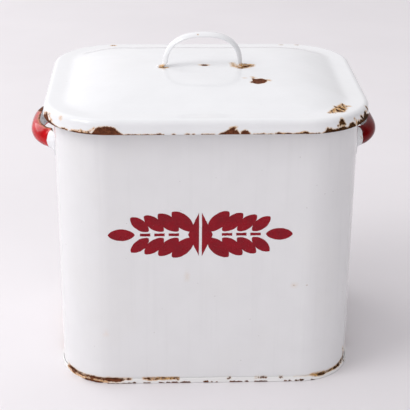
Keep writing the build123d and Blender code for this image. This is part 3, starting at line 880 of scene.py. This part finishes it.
def enamel_material(name, white=WHITE, red=None, streaks=0.0, specular=0.5, halo_share=0.45):
    t = Tree(bpy.data.materials.new(name))
    ragged = 1.0 if red else 3.4
    edge = t.math("ADD", t.attribute("chip"), t.wobble(3.0, 4, 0.65, ragged))
    edge = t.math("ADD", edge, t.wobble(1.0, 3, 0.6, ragged / 1.6))
    chipped = t.between(edge, 0.2, -0.2)
    ground = t.between(edge, 0.42, 0.05)
    # colour of the sound enamel
    tint = t.between(t.noise(31, 3), 0.35, 0.7)
    colour = t.mix(t.times(tint, 0.55), white, darker(white, 0.965))
    cloud = t.between(t.noise(70, 2), 0.5, 0.75)
    colour = t.mix(t.times(cloud, 0.22), colour, (white[0] * 0.98, white[1] * 0.965, white[2] * 0.93))
    if streaks:
        drip = t.noise(7.5, 3, 0.6, t.stretched(1, 1, 0.035))
        colour = t.mix(t.times(t.between(drip, 0.5, 0.74), streaks), colour, darker(white, 0.84))
    if red:
        paint = t.math("ADD", t.attribute("paint"), t.wobble(1.6, 3, 0.55, 0.8))
        red_tint = t.mix(t.between(t.noise(11, 3), 0.4, 0.65), red, darker(red, 0.78))
        worn = t.between(t.noise(2.3, 4, 0.65), 0.67, 0.72)
        red_tint = t.mix(t.times(worn, 0.3), red_tint, WORN_RED)
        colour = t.mix(t.between(paint, -0.22, 0.22), colour, red_tint)
    # tiny pinholes and dust in the glaze
    distance, cell = t.specks(9.0)
    picked = t.node("SeparateColor", {0: cell}).outputs[0]
    pin = t.times(t.between(distance, 0.062, 0.03), t.between(picked, 0.8, 0.86))
    colour = t.mix(t.times(pin, 0.5), colour, PINHOLE)
    # ochre stains with brown specks, and a pale yellow line round each chip
    soaked = t.attribute("stain")
    stain = t.times(soaked, t.between(t.noise(2.2, 4, 0.65), 0.31, 0.51), clamp=True)
    to_right = t.between(t.coordinate("X"), -62.0, -46.0)
    colour = t.mix(t.times(stain, 0.95), colour, t.mix(to_right, STAIN_LEFT, STAIN_RIGHT))
    ripe = t.between(soaked, 0.4, 0.75)
    ripe_patch = t.times(ripe, t.between(t.noise(2.1, 3), 0.46, 0.58))
    colour = t.mix(t.times(ripe_patch, 0.75), colour, STAIN_RIPE)
    speck = t.times(ripe, t.between(t.noise(1.7, 4, 0.65), 0.545, 0.6))
    colour = t.mix(t.times(speck, 0.85), colour, STAIN_SPECK)
    halo = t.times(t.between(edge, 0.6 if red else 1.2, 0.2), 0.2 if red else halo_share)
    colour = t.mix(halo, colour, CHIP_HALO)
    colour = t.mix(t.times(ground, 0.55), colour, CHIP_GROUND)
    colour = t.mix(chipped, colour, rust_colour(t))
    # gloss on sound enamel, and none on rust
    gloss = t.between(t.noise(14, 3), 0.3, 0.75, 0.045, 0.1)
    matt = t.math("MAXIMUM", chipped, t.times(stain, 0.6))
    rough = t.node("Mix", {0: matt, 2: gloss, 3: 0.9}, data_type="FLOAT").outputs[0]
    # relief: orange peel, then the step down into a chip with its crust of rust
    normal = t.bump(t.noise(3.2, 2), 0.012)
    normal = t.bump(t.noise(19, 2), 0.12, normal)
    if streaks:
        normal = t.bump(t.noise(11, 2, 0.5, t.stretched(1, 1, 0.05)), 0.05, normal)
    crust = t.times(t.times(t.noise(0.8, 4, 0.7), chipped), 0.5)
    normal = t.bump(t.math("SUBTRACT", crust, chipped), 0.34, normal)
    shine = specular if red else t.between(chipped, 0.0, 1.0, specular, 0.12)
    return t.principled(colour, rough, normal, shine)


def ornament_material():
    t = Tree(bpy.data.materials.new("Stencilled_Red"))
    colour = t.mix(t.between(t.noise(13, 3), 0.35, 0.7), (0.27, 0.003, 0.012), (0.215, 0.004, 0.012))
    mottle = t.between(t.noise(2.0, 4, 0.65), 0.6, 0.74)
    colour = t.mix(t.times(mottle, 0.45), colour, (0.3, 0.03, 0.035))
    scratch = t.between(t.noise(0.9, 3, 0.6), 0.7, 0.74)
    colour = t.mix(t.times(scratch, 0.7), colour, (0.62, 0.48, 0.47))
    rough = t.between(t.noise(6, 3), 0.3, 0.7, 0.24, 0.38)
    return t.principled(colour, rough, t.bump(t.noise(2.2, 3), 0.03), 0.2)


# ------ The object
# The lid's white is a little brighter than the wall's, which is partly painted light on the lid and its
# skirt.
lid_white = enamel_material("Lid_Enamel")
wall_white = enamel_material("Wall_Enamel", (0.79, 0.79, 0.8), streaks=0.14, halo_share=0.2)
pan_white = enamel_material("Base_Enamel", (0.85, 0.85, 0.84), halo_share=0.15)
handle_white = enamel_material("Handle_Enamel")
red_left = enamel_material("Red_Enamel_Left", red=(0.53, 0.0, 0.004), specular=0.2)
# The right handle's red is a darker copy of the left handle's red: painted shade on the side away from the
# lamps.
red_right_painted_shade = enamel_material("Red_Enamel_Right_Painted_Shade", red=(0.155, 0.0, 0.001), specular=0.05)
stencil = ornament_material()

built = [
    (build_wall(), "bin", "body_shell", "white_enamel", wall_white),
    (build_pan(), "bin", "base_pan", "base_enamel", pan_white),
    (build_side_handle("Side_Handle_Right", 1), "bin", "side_handle_right", "red_enamel", red_right_painted_shade),
    (build_side_handle("Side_Handle_Left", -1), "bin", "side_handle_left", "red_enamel", red_left),
    (build_ornament(), "bin", None, "red_enamel", stencil),
    (build_lid(), "lid", "lid_shell", "white_enamel", lid_white),
    (build_lid_handle(), "lid", "lid_handle", "white_enamel", handle_white),
]
for piece, body, node, slot, material in built:
    piece.data.materials.append(material)
    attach(piece, body)
    if node:
        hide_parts(node)

# ------ Floor, world and lamps (metres)
FLOOR_HALF, FLOOR_DROP = 9.0, 0.00005
floor_mesh = bpy.data.meshes.new("Floor")
corners = [(-1, -1), (1, -1), (1, 1), (-1, 1)]
corners = [(x * FLOOR_HALF, y * FLOOR_HALF, -FLOOR_DROP) for x, y in corners]
floor_mesh.from_pydata(corners, [], [(0, 1, 2, 3)])
floor = bpy.data.objects.new("Floor", floor_mesh)
scene.collection.objects.link(floor)
paper = Tree(bpy.data.materials.new("Floor_Paper"))
cloud = paper.between(paper.noise(240, 3), 0.3, 0.7)
grain = paper.mix(cloud, (0.8, 0.775, 0.795), (0.82, 0.795, 0.815))
paper.surface(paper.node("BsdfPrincipled", {"Base Color": grain, "Roughness": 0.7}))
floor_mesh.materials.append(paper.owner)

WORLD_LEVEL, WORLD_SLOPE = 0.735, (-0.32, -0.1, 0)   # brighter toward -X and the front
TAKEN_BEHIND, TAKEN_IN_FRONT = -0.4, 0.62   # share of that light which reflections lose
world = bpy.data.worlds.new("Studio")
scene.world = world
sky = Tree(world)
way = sky.place["Generated"]
slope = sky.node("VectorMath", {0: way, 1: WORLD_SLOPE}, operation="DOT_PRODUCT").outputs["Value"]
level = sky.math("ADD", slope, WORLD_LEVEL)
ray = sky.node("LightPath").outputs
# in front of the object, the room that the gloss mirrors is dim; behind it the paper goes on
toward_back = sky.node("SeparateXYZ", {0: way}).outputs["Y"]
taken = sky.between(toward_back, 0.6, 0.15, TAKEN_BEHIND, TAKEN_IN_FRONT)
mirrored = sky.times(level, sky.math("SUBTRACT", 1.0, sky.times(taken, ray["Is Glossy Ray"])))
lit = sky.node("Background", {"Color": (1.0, 0.98, 1.0, 1), "Strength": mirrored})
seen = sky.node("Background", {"Color": (0.86, 0.84, 0.86, 1)})
either = sky.math("MAXIMUM", ray["Is Camera Ray"], ray["Is Transmission Ray"])
sky.surface(sky.node("MixShader", {0: either, 1: lit.outputs[0], 2: seen.outputs[0]}), "OutputWorld")

LAMPS = [   # name, place, width, height, watts
    ("Key", (-1.8, -0.9, 2.4), 1.4, 1.4, 27),
    ("Rear", (-1.9, 1.7, 1.3), 1.6, 1.4, 15),
    ("Top", (0, 0.3, 2.6), 2.4, 2.4, 4.5),
]
LAMP_AIM = Vector((0, 0, 0.2))
for name, at, width, height, watts in LAMPS:
    lamp = bpy.data.lights.new(name, "AREA")
    lamp.shape = "RECTANGLE"
    lamp.size = width
    lamp.size_y = height
    lamp.energy = watts
    stand = bpy.data.objects.new(name, lamp)
    stand.location = at
    stand.rotation_mode = "QUATERNION"
    stand.rotation_quaternion = (LAMP_AIM - Vector(at)).to_track_quat("-Z", "Y")
    scene.collection.objects.link(stand)

# ------ Camera (radians, metres, lens in millimetres)
PITCH, YAW, ROLL = 0.4028, 0.04, 0.0072
CAMERA_AT = (-0.04758, -1.23799, 0.67717)
ahead = Vector((math.sin(YAW) * math.cos(PITCH), math.cos(YAW) * math.cos(PITCH), -math.sin(PITCH)))
right = Vector((math.cos(YAW), -math.sin(YAW), 0))
up = right.cross(ahead)
across = right * math.cos(ROLL) + up * math.sin(ROLL)
upward = up * math.cos(ROLL) - right * math.sin(ROLL)
camera_data = bpy.data.cameras.new("Camera")
camera_data.sensor_width = 36.0
camera_data.lens = 106.7
camera = bpy.data.objects.new("Camera", camera_data)
camera.matrix_world = Matrix.Translation(CAMERA_AT) @ Matrix((across, upward, -ahead)).transposed().to_4x4()
scene.collection.objects.link(camera)
scene.camera = camera

scene.view_settings.view_transform = "Standard"
